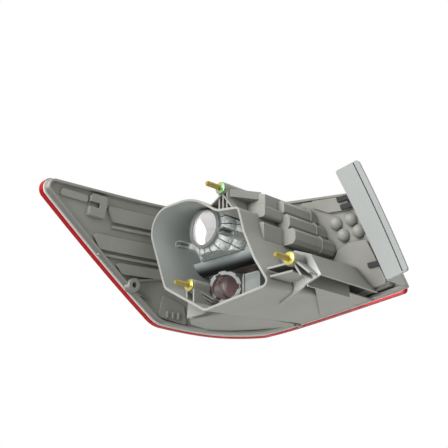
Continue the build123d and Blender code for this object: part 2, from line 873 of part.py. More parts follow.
# Room inside the upper bowl, walled off from the bay where the bowl is cut short
with BuildPart() as upper_bowl_space:
    with BuildSketch(upper_axis_plane):
        with BuildLine():
            bowl_profile(reflector_wall, 0.0)
            Polyline(
                (upper_mouth_radius - reflector_wall, upper_seat_y),
                (upper_mouth_radius - reflector_wall, upper_seat_y + 2 * reflector_wall),
                (0, upper_seat_y + 2 * reflector_wall),
                (0, bowl_start_y),
                (neck_radius - reflector_wall, bowl_start_y),
            )
        make_face()
    revolve(axis=upper_axis)
    add(bay_prism(front_inset + reflector_wall), mode=Mode.INTERSECT)
    add(level_block(0.0, bay_reach, -bracket_drop, shelf_clear_z + reflector_wall), mode=Mode.SUBTRACT)

with BuildPart() as upper_reflector:
    with BuildSketch(upper_axis_plane):
        with BuildLine():
            bowl_profile(0.0, cobble_bulge)
            Polyline(
                (upper_mouth_radius, upper_seat_y),
                (0, upper_seat_y),
                (0, upper_neck_front_y),
                (neck_radius, upper_neck_front_y),
                (neck_radius, bowl_start_y),
            )
        make_face()
    revolve(axis=upper_axis)
    add(cobble_grooves.part, mode=Mode.SUBTRACT)
    for channel_x in tab_channel_xs:
        add(
            fin(
                channel_x,
                tab_channel_z,
                tab_channel_width,
                tab_channel_height,
                tab_channel_front_y,
                tab_channel_end_y,
            )
        )
        add(
            fin(
                channel_x + tab_channel_wall,
                tab_channel_z,
                tab_channel_width,
                tab_channel_height - 2 * tab_channel_wall,
                0.0,
                bowl_start_y,
            ),
            mode=Mode.SUBTRACT,
        )
    with BuildSketch(Plane.XZ.offset(-upper_seat_y)):
        Rectangle(2 * bay_reach, 2 * bay_reach)
    extrude(amount=-reflector_wall)
    add(upper_bowl_space.part, mode=Mode.SUBTRACT)
    add(post(upper_bulb_x, upper_bulb_z, 0.0, bowl_start_y, upper_bulb_radius), mode=Mode.SUBTRACT)
    add(seat_space(upper_seat_y, upper_seat_y + reflector_wall), mode=Mode.INTERSECT)
    add(level_block(0.0, bay_reach, -bracket_drop, shelf_clear_z), mode=Mode.SUBTRACT)
upper_reflector.part.label = "upper_reflector"

# Lower reflector: tilted bowl with a notched socket ring, and a box, on a flange that fills the lower bay
ring_plane = Plane(
    origin=(lower_bulb_x, lower_bulb_y, lower_bulb_z),
    x_dir=(cos(radians(lower_bulb_turn)), sin(radians(lower_bulb_turn)), 0),
    z_dir=(sin(radians(lower_bulb_turn)), -cos(radians(lower_bulb_turn)), 0),
)
with BuildPart() as lower_bowl_space:
    with BuildSketch(ring_plane.offset(-lower_ring_length)):
        Circle(lower_ring_radius - reflector_wall)
    with BuildSketch(ring_plane.offset(-lower_bowl_length)):
        Circle(lower_mouth_radius - reflector_wall)
    loft()

box_middle_x = socket_box_x + socket_box_width / 2
box_middle_z = socket_box_z + socket_box_height / 2
with BuildPart() as lower_reflector:
    with BuildSketch(Plane.XZ.offset(-lower_seat_y)):
        Rectangle(2 * bay_reach, 2 * bay_reach)
    extrude(amount=-reflector_wall)
    with BuildSketch(ring_plane.offset(-lower_ring_length)):
        Circle(lower_ring_radius)
    with BuildSketch(ring_plane.offset(-lower_bowl_length)):
        Circle(lower_mouth_radius)
    loft()
    with BuildSketch(ring_plane):
        Circle(lower_ring_radius)
    extrude(amount=-lower_ring_length)
    with BuildSketch(Plane.XZ.offset(-socket_box_front_y)):
        with Locations((box_middle_x, box_middle_z)):
            RectangleRounded(socket_box_width, socket_box_height, socket_box_radius)
    extrude(amount=socket_box_front_y - lower_seat_y - reflector_wall)
    with BuildSketch(Plane.XZ.offset(-socket_box_front_y - reflector_wall)):
        with Locations((box_middle_x, box_middle_z)):
            RectangleRounded(
                socket_box_width - 2 * reflector_wall,
                socket_box_height - 2 * reflector_wall,
                socket_box_radius - reflector_wall,
            )
    extrude(amount=socket_box_front_y - lower_seat_y - reflector_wall, mode=Mode.SUBTRACT)
    add(lower_bowl_space.part, mode=Mode.SUBTRACT)
    with BuildSketch(ring_plane):
        Circle(lower_hole_radius)
        with PolarLocations(lower_hole_radius, lower_notches):
            Rectangle(2 * lower_notch_depth, lower_notch_width)
    extrude(amount=-lower_ring_length, mode=Mode.SUBTRACT)
    with BuildSketch(ring_plane):
        with PolarLocations(lower_ring_radius, lower_teeth):
            Rectangle(2 * lower_tooth_depth, lower_tooth_gap)
    extrude(amount=-lower_tooth_length, mode=Mode.SUBTRACT)
    add(seat_space(lower_seat_y, lower_seat_y + reflector_wall), mode=Mode.INTERSECT)
    add(level_block(0.0, bay_reach, shelf_z - reflector_clearance, outer_top_z), mode=Mode.SUBTRACT)
lower_reflector.part.label = "lower_reflector"

# Bright trim sheet behind the lens, open in front of each chamber
with BuildPart() as inner_bezel:
    add(lens_layer(bezel_start, bezel_start + bezel_wall, bezel_inset))
    add(bay_prism(bay_wall + bezel_overhang), mode=Mode.SUBTRACT)
    mouth_inset = chamber_wall + bezel_overhang
    add(rear_prism(chamber_corners, chamber_radius, step_front_y, bay_reach, mouth_inset), mode=Mode.SUBTRACT)
inner_bezel.part.label = "inner_bezel"


def make_stud(x, z):
    """Fixing stud with a round flange, a threaded end and a root in its boss."""
    with BuildPart() as stud:
        add(post(x, z, -stud_length, stud_flange_thickness / 2, stud_radius))
        chamfer(stud.faces().sort_by(Axis.Y)[0].edges(), stud_tip_chamfer)
        add(post(x, z, 0.0, stud_flange_thickness, stud_flange_radius))
        add(post(x, z, stud_flange_thickness / 2, stud_flange_thickness + stud_root_length, stud_root_radius))
    return stud.part


# Inboard plate with its groove, and the web that stands it off the housing
plate_top_left, plate_top_right, plate_bottom_right, plate_bottom_left = end_plate_corners
web_corners = (
    plate_top_left,
    (plate_top_left[0] + web_wall, plate_top_left[1]),
    (plate_bottom_left[0] + web_wall, plate_bottom_left[1]),
    plate_bottom_left,
)
groove_corners = (
    (plate_top_right[0] - end_groove_inset - end_groove_width, plate_top_right[1]),
    (plate_top_right[0] - end_groove_inset, plate_top_right[1]),
    (plate_bottom_right[0] - end_groove_inset, plate_bottom_right[1]),
    (plate_bottom_right[0] - end_groove_inset - end_groove_width, plate_bottom_right[1]),
)
end_plate_front = end_plate_depth + end_plate_wall
with BuildPart() as inboard_plate:
    plate_column = rear_prism(end_plate_corners, end_plate_radius, 0.0, bay_reach)
    add(slab_patch(end_plate_depth, end_plate_front, plate_column))
    groove_column = rear_prism(groove_corners, 0, 0.0, bay_reach)
    groove = slab_patch(end_plate_front - end_groove_depth, end_plate_front + cut_overrun, groove_column)
    add(groove, mode=Mode.SUBTRACT)
    web_column = rear_prism(web_corners, 0, 0.0, bay_reach)
    web_start = plate_end + lip_height + web_clearance
    add(slab_patch(web_start, end_plate_depth + end_plate_wall / 2, web_column))
inboard_plate.part.label = "inboard_plate"

# Clips from the chamber's shoulders to the web of the inboard plate
web_lean = (plate_bottom_left[0] - plate_top_left[0]) / (plate_top_left[1] - plate_bottom_left[1])
clip_start = shoulder_end + clip_clearance
with BuildPart() as plate_clips:
    for level in clip_levels:
        web_x = plate_top_left[0] + (plate_top_left[1] - level - clip_height / 2) * web_lean - clip_clearance
        clip_corners = (
            (web_x - clip_reach, level - clip_height / 2),
            (web_x - clip_reach, level + clip_height / 2),
            (web_x, level + clip_height / 2),
            (web_x + clip_height * web_lean, level - clip_height / 2),
        )
        clip_column = rear_prism(clip_corners, 0, 0.0, bay_reach)
        add(slab_patch(clip_start, clip_start + clip_wall, clip_column))
plate_clips.part.label = "plate_clips"

os.makedirs("parts", exist_ok=True)
for piece in (
    housing,
    bulb_bay,
    inboard_bracket,
    lens_red,
    lens_clear,
    lens_seal,
    upper_reflector,
    lower_reflector,
    inner_bezel,
    inboard_plate,
    plate_clips,
):
    export_step(piece.part, f"parts/{piece.part.label}.step")
for name, (stud_x, stud_z) in stud_places.items():
    stud_part = make_stud(stud_x, stud_z)
    stud_part.label = name
    export_step(stud_part, f"parts/{name}.step")
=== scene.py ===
# %% [markdown]
# # A rear lamp, seen from its car side
# The solids of this lamp come from CAD. Here they get their finishes, the plain studs get their
# threads, and some ribs, webs and walls that the solids lack are added. Every object is in metres and
# in the CAD frame: +X points inboard, +Y rearward to the lens, +Z up.

# %% Load the frame
import json
from math import cos, radians, sin, tau

import bmesh
import bpy
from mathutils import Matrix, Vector


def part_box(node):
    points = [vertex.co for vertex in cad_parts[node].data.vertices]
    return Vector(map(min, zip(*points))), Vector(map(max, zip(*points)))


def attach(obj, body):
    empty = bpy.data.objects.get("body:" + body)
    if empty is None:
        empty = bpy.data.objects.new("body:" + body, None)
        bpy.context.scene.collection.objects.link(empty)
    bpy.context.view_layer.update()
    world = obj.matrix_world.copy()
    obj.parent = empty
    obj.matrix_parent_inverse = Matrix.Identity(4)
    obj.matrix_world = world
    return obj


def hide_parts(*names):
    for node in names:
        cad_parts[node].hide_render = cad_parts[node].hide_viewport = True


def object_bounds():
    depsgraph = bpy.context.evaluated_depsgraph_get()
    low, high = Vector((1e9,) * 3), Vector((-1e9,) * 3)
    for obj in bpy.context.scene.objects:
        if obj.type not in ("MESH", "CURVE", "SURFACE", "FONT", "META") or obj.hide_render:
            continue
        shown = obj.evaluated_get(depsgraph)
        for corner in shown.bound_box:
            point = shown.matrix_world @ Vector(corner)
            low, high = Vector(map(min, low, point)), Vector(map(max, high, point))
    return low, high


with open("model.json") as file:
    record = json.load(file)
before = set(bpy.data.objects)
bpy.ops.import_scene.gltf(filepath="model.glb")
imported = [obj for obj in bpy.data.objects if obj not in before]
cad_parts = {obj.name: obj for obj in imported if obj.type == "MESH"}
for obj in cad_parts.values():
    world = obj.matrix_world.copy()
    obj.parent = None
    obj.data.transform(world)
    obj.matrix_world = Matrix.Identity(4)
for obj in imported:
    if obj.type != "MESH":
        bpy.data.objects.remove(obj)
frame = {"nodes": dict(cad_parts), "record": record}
cad_low, cad_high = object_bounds()
print("nodes:", ", ".join(sorted(frame["nodes"])))
print("size in metres:", [round(v, 3) for v in cad_high - cad_low])

# %% [markdown]
# ## Camera
# The photograph looks at the lamp from inside the car, from the right and from a little below. A long
# lens keeps the far wing tip nearly as large as the near inboard end. The camera could be moved by
# hand until it fits, but two angles round one target point are easier to read and to repeat.

# %% Camera
mm = 0.001
photo_pixels = 448
photo_scale = 1.2 * mm
view_turn = radians(45.0)
view_lift = radians(-19.0)
view_distance = 1.0
target = Vector((-7.9, 63.5, 88.9)) * mm
backward = Vector(
    (
        sin(view_turn) * cos(view_lift),
        -cos(view_turn) * cos(view_lift),
        sin(view_lift),
    )
)

camera_data = bpy.data.cameras.new("photo_camera")
camera_data.sensor_width = 36.0
camera_data.lens = camera_data.sensor_width * view_distance / (photo_pixels * photo_scale)
camera_data.clip_start = 0.01
camera = bpy.data.objects.new("photo_camera", camera_data)
camera.location = target + backward * view_distance
camera.rotation_euler = (-backward).to_track_quat("-Z", "Y").to_euler()
bpy.context.collection.objects.link(camera)
bpy.context.scene.camera = camera
print("lens in mm:", round(camera_data.lens, 2))

# %% [markdown]
# ## Shader maths as expressions
# A material is a graph of nodes. It could be wired by hand in the editor, but Python expressions keep
# it readable, so this small class wraps one output socket. Operators on it add Math nodes, and `make`
# adds any other node: settings first, sockets after.


# %% One socket with operators
class Wire:
    """One output socket in a node tree. Operators on it add Math nodes."""

    def __init__(self, tree, socket=None):
        self.tree = tree
        self.socket = socket

    def make(self, kind, settings=None, sockets=None, output=0):
        """Adds a node of any kind: its settings first, then the values or links of its sockets."""
        node = self.tree.nodes.new(kind)
        for name, value in (settings or {}).items():
            if name == "stops":
                ramp = node.color_ramp.elements
                while len(ramp) < len(value):
                    ramp.new(1.0)
                for element, (position, colour) in zip(ramp, value):
                    element.position = position
                    element.color = (*colour, 1.0)
            else:
                setattr(node, name, value)
        for name, value in (sockets or {}).items():
            found = [s for s in node.inputs if s.identifier == name] or [node.inputs[name]]
            if isinstance(value, Wire):
                self.tree.links.new(value.socket, found[0])
            else:
                found[0].default_value = value
        return Wire(self.tree, node.outputs[output])

    def maths(self, operation, first, second):
        """Adds a Math node on two values or wires."""
        sockets = {"Value": first, "Value_001": second}
        return self.make("ShaderNodeMath", {"operation": operation}, sockets)

    def __add__(self, other):
        return self.maths("ADD", self, other)

    def __radd__(self, other):
        return self.maths("ADD", other, self)

    def __sub__(self, other):
        return self.maths("SUBTRACT", self, other)

    def __rsub__(self, other):
        return self.maths("SUBTRACT", other, self)

    def __mul__(self, other):
        return self.maths("MULTIPLY", self, other)

    def __rmul__(self, other):
        return self.maths("MULTIPLY", other, self)

    def ramp(self, low, high):
        """Zero up to low, one from high on, smooth between."""
        return self.make(
            "ShaderNodeMapRange",
            {"interpolation_type": "SMOOTHSTEP"},
            {"Value": self, "From Min": low, "From Max": high},
        )

    def mix(self, first, second):
        """Blends two colours by this value."""
        return self.make(
            "ShaderNodeMix",
            {"data_type": "RGBA"},
            {"Factor_Float": self, "A_Color": first, "B_Color": second},
            output=2,
        )


print("a wire can:", ", ".join(name for name in vars(Wire) if not name.startswith("_")))

# %% [markdown]
# Every finish starts as a new material with one shader, and ends on the nodes that it dresses. These
# three helpers do that, so that each finish below is only its own recipe.


# %% Start a finish and put it on
def new_finish(name):
    """A new material with its shader node and a wire to build its nodes from."""
    material = bpy.data.materials.new(name)
    material.use_nodes = True
    tree = material.node_tree
    return material, tree.nodes["Principled BSDF"], Wire(tree)


def set_shader(shader, sockets):
    """Sets or links the named sockets of a shader."""
    for name, value in sockets.items():
        if isinstance(value, Wire):
            value.tree.links.new(value.socket, shader.inputs[name])
        else:
            shader.inputs[name].default_value = value


def dress(material, *names):
    """Puts a finish on the named nodes."""
    for name in names:
        slots = frame["nodes"][name].data.materials
        slots.clear()
        slots.append(material)
    print(material.name, "on", ", ".join(names))


print("nodes to dress:", len(frame["nodes"]))

# %% [markdown]
# A finish needs to know where on the lamp it is and which way a face looks. Both could come from
# painted masks, but the object's own coordinates and normals give them for every solid, unpainted.

# %% Place and facing
inboard = (1.0, 0.0, 0.0)
rearward = (0.0, 1.0, 0.0)
forward = (0.0, -1.0, 0.0)
upward = (0.0, 0.0, 1.0)


def place_of(wire):
    """Position on the object, in metres."""
    return wire.make("ShaderNodeTexCoord", output=3)


def facing_of(wire):
    """Direction in which the surface faces."""
    return wire.make("ShaderNodeTexCoord", output=1)


def dot(wire, other):
    """Dot product with another direction, a wire or three numbers."""
    return wire.make(
        "ShaderNodeVectorMath",
        {"operation": "DOT_PRODUCT"},
        {"Vector": wire, "Vector_001": other},
        output=1,
    )


def place_along(wire, direction):
    """How far along a direction a point lies, in metres."""
    return dot(place_of(wire), direction)


def facing_along(wire, direction):
    """How far a face looks in a direction, from minus one to one."""
    return dot(facing_of(wire), direction)


print("the frame's directions:", inboard, rearward, upward)

# %% [markdown]
# Mouldings have blotches, grain, soft edges and grooves. Noise gives the first two. The solids
# have sharp edges, and rounding each one in the mesh would be slow, so the shader's bevel rounds the
# normal instead and shows where the edges are, for a painted highlight. Ambient occlusion finds the
# grooves, for painted shade.


# %% Grain, edges and grooves
def noise(wire, size, detail):
    """Noise whose blotches are about this size, in metres."""
    return wire.make(
        "ShaderNodeTexNoise",
        None,
        {"Vector": place_of(wire), "Scale": 1.0 / size, "Detail": detail},
    )


def bump(wire, height, depth, normal=None):
    """Normal of a surface whose height, from 0 to 1, stands this deep in metres."""
    sockets = {"Height": height, "Strength": 1.0, "Distance": depth}
    if normal:
        sockets["Normal"] = normal
    return wire.make("ShaderNodeBump", None, sockets)


def soft_edge(wire, radius):
    """Normal rounded over edges by this radius, and a mask that is one along those edges."""
    rounded = wire.make("ShaderNodeBevel", {"samples": 6}, {"Radius": radius})
    flat = wire.make("ShaderNodeNewGeometry", output=1)
    return rounded, (1.0 - dot(rounded, flat)).ramp(0.02, 0.20)


def openness(wire, reach):
    """One where nothing stands near the surface, less down in grooves and corners."""
    return wire.make("ShaderNodeAmbientOcclusion", {"samples": 8}, {"Distance": reach}, output=1)


def scaled(colour, factor):
    """The same colour, lighter or darker."""
    return (*(factor * v for v in colour[:3]), 1.0)


print("half of a mid grey:", scaled((0.5, 0.5, 0.5), 0.5))

# %% [markdown]
# ## Housing plastic
# The housing is injection-moulded in grey plastic. Its skin has a fine, even grain and a slight satin
# sheen, and broad faces vary a little where the melt flowed. Its edges get a painted highlight and its
# grooves painted shade. A painted image could show all that, but noise needs no unwrapping and leaves
# no seams. One function makes the plastic, because the bay and the bracket are the same moulding with
# other edges and other shade.

# %% Moulded grey plastic
grey_low = (0.32, 0.32, 0.29, 1.0)
grey_high = (0.37, 0.37, 0.34, 1.0)
# Colour of the painted shade in grooves and corners.
groove_shade_grey = scaled(grey_low, 0.45)
edge_radius = 0.5 * mm
flow_size = 60 * mm
grain_size = 0.5 * mm
grain_depth = 0.02 * mm


def moulded_grey(name, edge_light, rough, reach):
    """Grained grey plastic with a painted highlight on its edges and painted shade where another face
    is within reach.
    """
    material, shader, wire = new_finish(name)
    rounded, edge = soft_edge(wire, edge_radius)
    flow = noise(wire, flow_size, 4.0)
    grain = noise(wire, grain_size, 2.0)
    body = flow.ramp(0.3, 0.7).mix(grey_low, grey_high)
    # Edges get a painted highlight.
    edge_highlit = edge.mix(body, edge_light)
    # Grooves and corners within reach get painted shade.
    shade = openness(wire, reach).ramp(0.1, 0.9).mix(groove_shade_grey, edge_highlit)
    set_shader(
        shader,
        {
            "Base Color": shade,
            "Roughness": rough + 0.14 * flow,
            "Normal": bump(wire, grain, grain_depth, rounded),
        },
    )
    return material, shader, wire, shade


print("plastic from", grey_low[:3], "to", grey_high[:3])

# %% [markdown]
# The lip along the lower edge of the wing turns away from the light, so its side is darker. That edge
# is a straight line, so the shader measures how far a point lies in from it.

# %% Housing finish
# Colour of the painted highlight on the housing's edges.
housing_edge_highlight = (0.50, 0.50, 0.48, 1.0)
lip_shadow = (0.13, 0.13, 0.12, 1.0)
short_reach = 6 * mm
edge_tip = Vector((0.0, -146.0, 107.0)) * mm
edge_inward = Vector((0.0, 0.567, 0.824))

housing_grey, shader, wire, shade = moulded_grey("housing_grey", housing_edge_highlight, 0.40, short_reach)
from_edge = place_along(wire, edge_inward) - edge_tip.dot(edge_inward)
near_edge = 1.0 - from_edge.ramp(5 * mm, 8 * mm)
lip_side = facing_along(wire, -edge_inward).ramp(0.75, 0.9) * near_edge
set_shader(shader, {"Base Color": (lip_side * 0.8).mix(shade, lip_shadow)})
dress(housing_grey, "housing")

# %% [markdown]
# The inboard bracket is an open box that carries a stud. A longer reach of the ambient occlusion
# paints shade in its hollows, and its slanted front wall gets painted light, most of all low down. The
# front wall is found by the way it faces.

# %% Bracket finish
# Colour of the painted highlight on the edges of the bracket and the bay.
pale_edge_highlight = (0.80, 0.80, 0.78, 1.0)
front_painted_light = (0.74, 0.77, 0.75, 1.0)
# The longer reach spreads painted shade through the hollows.
long_reach = 25 * mm
bracket_front = (-0.43, -0.88, -0.22)

bracket_grey, shader, wire, shade = moulded_grey("bracket_grey", pale_edge_highlight, 0.40, long_reach)
upper_part = place_along(wire, upward).ramp(-18 * mm, 6 * mm)
# The slanted front wall gets painted light, strongest low down.
front_wall_lit = facing_along(wire, bracket_front).ramp(0.92, 0.98) * (1.0 - 0.75 * upper_part)
set_shader(shader, {"Base Color": front_wall_lit.mix(shade, front_painted_light)})
dress(bracket_grey, "inboard_bracket")

# %% [markdown]
# ## Bulb bay
# The inside of the bay is smoother and a little cooler than the housing. It gets painted light, more
# higher up, and painted shade towards its depth, and the nose of its shelf gets painted shade from
# grey at the top to black at the foot. Behind the upper reflector its walls are metallised, so light
# from the window falls back through the bulb opening. Each face could have a material of its own, but
# masks blend softly. The inside is found by the way a face looks: in towards the axis of the upper
# bulb.

# %% Inside of the bay
bores = {mount["name"]: mount for mount in frame["record"]["mounts"] if mount["kind"] == "bore"}
upper_centre = Vector(bores["upper_bulb_opening"]["pos_m"])


def inward_of(wire, centre):
    """How far a face looks in to the axis along Y through a point: one straight in, minus one out."""
    offset = wire.make(
        "ShaderNodeVectorMath",
        {"operation": "SUBTRACT"},
        {"Vector": place_of(wire), "Vector_001": centre},
    )
    flat = wire.make(
        "ShaderNodeVectorMath",
        {"operation": "MULTIPLY"},
        {"Vector": offset, "Vector_001": (1, 0, 1)},
    )
    outward = wire.make("ShaderNodeVectorMath", {"operation": "NORMALIZE"}, {"Vector": flat})
    return 0.0 - dot(outward, facing_of(wire))


print("axis of the upper bulb at x, z:", upper_centre.x, upper_centre.z)

# %% Bay finish
bay_painted_light = (0.54, 0.57, 0.55, 1.0)
bay_painted_shade = (0.13, 0.14, 0.14, 1.0)
bay_silver = (0.90, 0.90, 0.90, 1.0)
nose_shade_black = (0.004, 0.005, 0.005, 1.0)
nose_shade_grey = (0.42, 0.47, 0.47, 1.0)
seat_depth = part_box("upper_reflector")[1].y

bay_grey, shader, wire, shade = moulded_grey("bay_grey", pale_edge_highlight, 0.34, short_reach)
inside = inward_of(wire, upper_centre).ramp(0.0, 0.25)
depth = place_along(wire, rearward)
height = place_along(wire, upward)
silvered = inside * depth.ramp(seat_depth, seat_depth + 1 * mm)
shelf = depth.ramp(50 * mm, 53 * mm) * (1.0 - depth.ramp(80 * mm, 85 * mm))
# The nose of the shelf gets painted shade, darker towards its foot.
nose = facing_along(wire, forward).ramp(0.1, 0.3) * shelf
nose_shade = height.ramp(33 * mm, 48 * mm).mix(nose_shade_black, nose_shade_grey)
# The inside gets painted light, more higher up.
pale = inside * (0.25 + 0.6 * height.ramp(-10 * mm, 60 * mm))
# Towards its depth the inside gets painted shade.
dim = inside * depth.ramp(8 * mm, 50 * mm) * 0.5
bay_wall = dim.mix(pale.mix(shade, bay_painted_light), bay_painted_shade)
set_shader(
    shader,
    {
        "Base Color": silvered.mix(nose.mix(bay_wall, nose_shade), bay_silver),
        "Metallic": silvered * 0.1,
    },
)
dress(bay_grey, "bulb_bay")

# %% [markdown]
# ## Lenses
# The lens is acrylic: red all round, with a clear window before the upper bulb. Clear plastic bends
# and tints the light that goes through it, so both lenses use the shader's transmission. The window
# is partly see-through as well, because that lets direct light into the bowl. A coat makes the outer
# face of the red lens glossy, but not its rim, which stays plain red.

# %% Red lens finish
acrylic_ior = 1.49
haze_size = 40 * mm
red_low = (0.60, 0.001, 0.008, 1.0)
red_high = (0.68, 0.002, 0.012, 1.0)
lens_outward = (-0.45, 0.89, 0.0)

lens_red, shader, wire = new_finish("lens_red")
haze = noise(wire, haze_size, 3.0)
set_shader(
    shader,
    {
        "Base Color": haze.mix(red_low, red_high),
        "Roughness": 0.10 + 0.06 * haze,
        "Transmission Weight": 0.5,
        "IOR": acrylic_ior,
        "Specular IOR Level": 0.02,
        "Coat Weight": facing_along(wire, lens_outward).ramp(0.1, 0.4),
        "Coat Roughness": 0.04,
    },
)
dress(lens_red, "lens_red")

# %% Clear window finish
lens_clear, shader, wire = new_finish("lens_clear")
haze = noise(wire, haze_size, 3.0)
set_shader(
    shader,
    {
        "Base Color": (0.96, 0.97, 0.98, 1.0),
        "Roughness": 0.02 + 0.04 * haze,
        "Transmission Weight": 1.0,
        "IOR": acrylic_ior,
        "Alpha": 0.25 + 0.1 * haze,
    },
)
dress(lens_clear, "lens_clear")

# %% [markdown]
# ## Sealant
# The lens is glued into the housing with an off-white bead. A nozzle lays it, so it is a little lumpy
# along its run. The lumps are too small to model, so bump from the same noise as the colour makes them.

# %% Sealant finish
bead_low = (0.70, 0.70, 0.66, 1.0)
bead_high = (0.80, 0.80, 0.77, 1.0)

sealant, shader, wire = new_finish("sealant")
lumps = noise(wire, 6 * mm, 2.0)
set_shader(
    shader,
    {
        "Base Color": lumps.mix(bead_low, bead_high),
        "Roughness": 0.45 + 0.15 * lumps,
        "Normal": bump(wire, lumps, 0.5 * mm),
    },
)
dress(sealant, "lens_seal")

# %% [markdown]
# ## Reflectors
# A reflector is moulded in light grey plastic and metallised on the side that faces the lens. The
# back of the upper one is cobbled. Its solid has the large cobbles, and a Voronoi texture lays uneven
# cells over them, which would be slow to model. The lower one gets the same with much larger cells.
# The neck round the upper bulb opening is darker. The two sides of the wall could be split into two
# meshes, but here each reflector brings a function that tells its inside by the way a face looks.

# %% Reflector recipe
neck_front = upper_centre.y
neck_grey = (0.18, 0.19, 0.185, 1.0)
collar_shade_grey = (0.12, 0.13, 0.13, 1.0)


def reflector_finish(name, low, high, lit, wall, cell):
    """Light grey plastic with a cobbled back, painted highlights on its edges and painted shade in its
    grooves, metallised where the wall faces into the bowl.
    """
    material, shader, wire = new_finish(name)
    rounded, edge = soft_edge(wire, 0.9 * mm)
    bright = wall(wire)
    depth = place_along(wire, rearward)
    cloud = noise(wire, 25 * mm, 4.0)
    cobble = wire.make(
        "ShaderNodeTexVoronoi",
        {"feature": "DISTANCE_TO_EDGE"},
        {"Vector": place_of(wire), "Scale": 1.0 / cell, "Randomness": 0.8},
    ).ramp(0.02, 0.14)
    fore = 1.0 - depth.ramp(neck_front - 2 * mm, neck_front + 5 * mm)
    outside = (fore * 0.7).mix(cloud.ramp(0.3, 0.7).mix(low, high), neck_grey)
    # Edges get a painted highlight.
    grey = edge.mix(outside, scaled(high, 1.2))
    # Grooves and corners get painted shade in this darker grey.
    groove = scaled(low, 0.4)
    shaded = openness(wire, 5 * mm).ramp(0.05, 0.6).mix(groove, grey)
    # The edges of the cells get painted shade.
    cobbled = (0.75 + 0.25 * cobble).mix(groove, shaded)
    # The forward face of the neck's collar gets painted shade.
    before_neck = 1.0 - depth.ramp(neck_front + 0.5 * mm, neck_front + 1 * mm)
    collar = facing_along(wire, forward).ramp(0.8, 0.9) * before_neck
    moulded = (collar * 0.8).mix(cobbled, collar_shade_grey)
    set_shader(
        shader,
        {
            "Base Color": bright.mix(moulded, lit),
            "Metallic": bright * 0.1,
            "Roughness": 0.34 + 0.10 * cloud - 0.14 * bright,
            "Normal": bump(wire, cobble * (1.0 - bright), 0.4 * mm, rounded),
        },
    )
    return material


print("neck of the upper reflector at y:", round(neck_front, 4))


# %% Upper reflector finish
def upper_inside(wire):
    """One on faces that look rearward, or in to the axis of the upper bulb behind its neck."""
    behind_rim = place_along(wire, rearward).ramp(neck_front + 0.2 * mm, neck_front + 0.5 * mm)
    to_axis = inward_of(wire, upper_centre).ramp(0.15, 0.4) * behind_rim
    to_lens = facing_along(wire, rearward).ramp(0.02, 0.10)
    return wire.maths("MAXIMUM", to_axis, to_lens)


upper_low = (0.68, 0.71, 0.69, 1.0)
upper_high = (0.82, 0.85, 0.83, 1.0)
upper_lit = (0.95, 0.95, 0.95, 1.0)
upper_cell = 8 * mm
upper_grey = reflector_finish(
    "reflector_upper", upper_low, upper_high, upper_lit, upper_inside, upper_cell
)
dress(upper_grey, "upper_reflector")


# %% Lower reflector finish
def lower_inside(wire):
    """One on faces that look along the lower bulb's axis into its bowl, and at the bowl's far end."""
    axis = -Vector(bores["lower_bulb_socket"]["axis"])
    beside = place_along(wire, inboard).ramp(5 * mm, 20 * mm)
    far_end = place_along(wire, rearward).ramp(85 * mm, 90 * mm) * (1.0 - beside)
    return wire.maths("MAXIMUM", facing_along(wire, axis).ramp(0.06, 0.18), far_end)


lower_low = (0.21, 0.23, 0.22, 1.0)
lower_high = (0.26, 0.28, 0.27, 1.0)
# The pink in the metallised bowl is a painted reflection of the red lens.
lower_silver_red_reflection = (0.95, 0.76, 0.76, 1.0)
lower_cell = 40 * mm
lower_grey = reflector_finish(
    "reflector_lower", lower_low, lower_high, lower_silver_red_reflection, lower_inside, lower_cell
)
dress(lower_grey, "lower_reflector")

# %% [markdown]
# ## Bright trim
# The sheet behind the lens is metallised plastic. A metal with low, slightly cloudy roughness gives
# its mirror finish. Scratches and dust could be added, but the piece is mostly hidden.

# %% Bright trim finish
trim_low = (0.78, 0.78, 0.78, 1.0)
trim_high = (0.86, 0.86, 0.86, 1.0)

bright_trim, shader, wire = new_finish("bright_trim")
cloud = noise(wire, 30 * mm, 3.0)
set_shader(
    shader,
    {
        "Base Color": cloud.mix(trim_low, trim_high),
        "Metallic": 1.0,
        "Roughness": 0.08 + 0.08 * cloud,
    },
)
dress(bright_trim, "inner_bezel")

# %% [markdown]
# ## Inboard plate and its clips
# The plate at the inboard end is a separate light blue-grey moulding, smoother than the housing, with
# one seam. The clips that hold it are dark grey. The seam could be a strip of its own, but the
# solid has a groove there, so ambient occlusion paints shade into it and into other close corners.

# %% Plate finish
plate_low = (0.40, 0.42, 0.41, 1.0)
plate_high = (0.44, 0.46, 0.45, 1.0)
seam_shade_black = (0.03, 0.03, 0.03, 1.0)

plate_grey, shader, wire = new_finish("plate_grey")
cloud = noise(wire, 30 * mm, 4.0)
grain = noise(wire, 0.6 * mm, 2.0)
# Ambient occlusion paints shade into the seam and other corners within 3 mm.
open_face = openness(wire, 3 * mm).ramp(0.45, 0.7)
set_shader(
    shader,
    {
        "Base Color": open_face.mix(seam_shade_black, cloud.mix(plate_low, plate_high)),
        "Roughness": 0.36 + 0.12 * cloud,
        "Normal": bump(wire, grain, 0.002 * mm),
    },
)
dress(plate_grey, "inboard_plate")

# %% Clip finish
clip_low = (0.035, 0.036, 0.036, 1.0)
clip_high = (0.055, 0.056, 0.056, 1.0)

clip_grey, shader, wire = new_finish("clip_grey")
cloud = noise(wire, 8 * mm, 3.0)
set_shader(
    shader,
    {
        "Base Color": cloud.mix(clip_low, clip_high),
        "Roughness": 0.40 + 0.2 * cloud,
    },
)
dress(clip_grey, "plate_clips")

# %% [markdown]
# ## Fixing studs
# The studs are steel with yellow zinc plating, which shows bands of gold, green and pink. A colour
# ramp on soft noise gives the bands. The flange of the upper stud is greener than the others, and the
# shanks are darker, because the thread hides part of the light.

